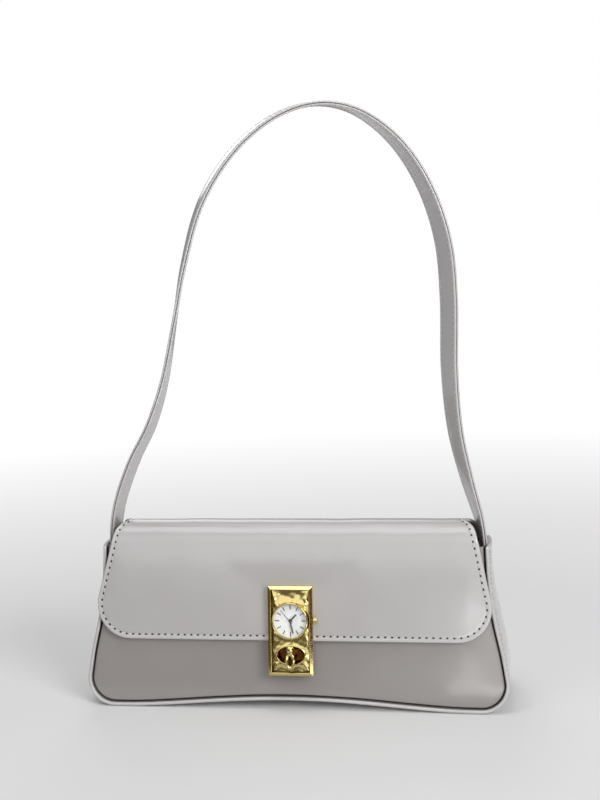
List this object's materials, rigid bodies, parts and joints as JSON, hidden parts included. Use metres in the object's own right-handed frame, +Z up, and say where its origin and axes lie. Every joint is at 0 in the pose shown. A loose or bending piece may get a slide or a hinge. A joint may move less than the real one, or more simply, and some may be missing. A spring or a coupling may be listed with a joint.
{
  "type": "flap baguette bag",
  "caption": "Small shoulder bag in smooth grey leather: folded flap, stitched gussets, upright strap, and a gold turn lock that carries a round watch.",
  "frame": {"origin": "on the ground under the middle of the bag's overall box", "axes": "+X to the wearer's right when the flap faces away from them, seen from the front it points right; -Y is the front with the lock; +Z is up"},
  "size_m": [0.262, 0.0686, 0.3658],
  "materials": {
    "grey_leather": "smooth semi-gloss coated leather, pale warm grey",
    "flap_facing": "matt coated leather, pale grey, on the inside of the flap",
    "lining_cloth": "woven lining, mid grey",
    "stiffener": "pressed stiffener board",
    "gold": "polished gold plate",
    "plated_steel": "nickel plated",
    "crystal_glass": "clear flat watch glass",
    "dial_white": "satin white",
    "hand_black": "gloss black",
    "movement_resin": "moulded quartz movement block"
  },
  "bodies": {
    "bag": {"front_panel": "grey_leather", "front_board": "stiffener", "back_panel": "grey_leather", "back_board": "stiffener", "gusset_left": "grey_leather", "gusset_right": "grey_leather", "base_board": "stiffener", "lining": "lining_cloth", "strap_end_left": "grey_leather", "strap_end_right": "grey_leather", "lock_base": "gold", "lock_rivets": "plated_steel", "lock_washer": "plated_steel"},
    "knob": {"turn_knob": "gold"},
    "flap_top": {"flap_top_outer": "grey_leather", "flap_top_lining": "flap_facing"},
    "flap": {"flap_outer": "grey_leather", "flap_lining": "flap_facing", "lock_plate": "gold", "lock_backing": "plated_steel", "plate_screws": "plated_steel", "watch_case": "gold", "crystal": "crystal_glass", "dial": "dial_white", "hour_markers": "hand_black", "movement": "movement_resin", "button_cell": "plated_steel"},
    "stem": {"crown_stem": "gold"},
    "crown": {"crown": "gold"},
    "hour": {"hour_hand": "hand_black"},
    "minute": {"minute_hand": "hand_black"},
    "second": {"second_hand": "hand_black"},
    "strap": {"strap_outer": "grey_leather", "strap_inner": "grey_leather"}
  },
  "joints": [
    {"name": "flap_lift", "type": "hinge", "parent": "bag", "child": "flap_top", "pos_m": [0, 0.0161, 0.1003], "axis": [-1, 0, 0], "range_deg": [0, 30]},
    {"name": "flap_open", "type": "hinge", "parent": "flap_top", "child": "flap", "pos_m": [0, -0.01374, 0.1003], "axis": [-1, 0, 0], "range_deg": [0, 80]},
    {"name": "knob_turn", "type": "hinge", "parent": "bag", "child": "knob", "pos_m": [0, -0.02432, 0.03479], "axis": [0, -0.9872, 0.1595], "range_deg": [0, 90]},
    {"name": "strap_swing", "type": "hinge", "parent": "bag", "child": "strap", "pos_m": [0, 0.00551, 0.115], "axis": [-1, 0, 0], "range_deg": [-75, 75]},
    {"name": "minute_spin", "type": "hinge", "parent": "flap", "child": "minute", "pos_m": [0, -0.02097, 0.05552], "axis": [0, 0.9872, -0.1595], "continuous": true},
    {"name": "hour_spin", "type": "hinge", "parent": "flap", "child": "hour", "pos_m": [0, -0.02097, 0.05552], "axis": [0, 0.9872, -0.1595], "continuous": true},
    {"name": "second_spin", "type": "hinge", "parent": "flap", "child": "second", "pos_m": [0, -0.02097, 0.05552], "axis": [0, 0.9872, -0.1595], "continuous": true},
    {"name": "crown_pull", "type": "slide", "parent": "flap", "child": "stem", "axis": [1, 0, 0], "range_m": [0, 0.0012]},
    {"name": "crown_turn", "type": "hinge", "parent": "stem", "child": "crown", "pos_m": [0, -0.02324, 0.05589], "axis": [1, 0, 0], "continuous": true}
  ],
  "couplings": [
    {"joint": "flap_lift", "follows": "flap_open", "ratio": 0.375},
    {"joint": "hour_spin", "follows": "minute_spin", "ratio": 0.083333}
  ]
}
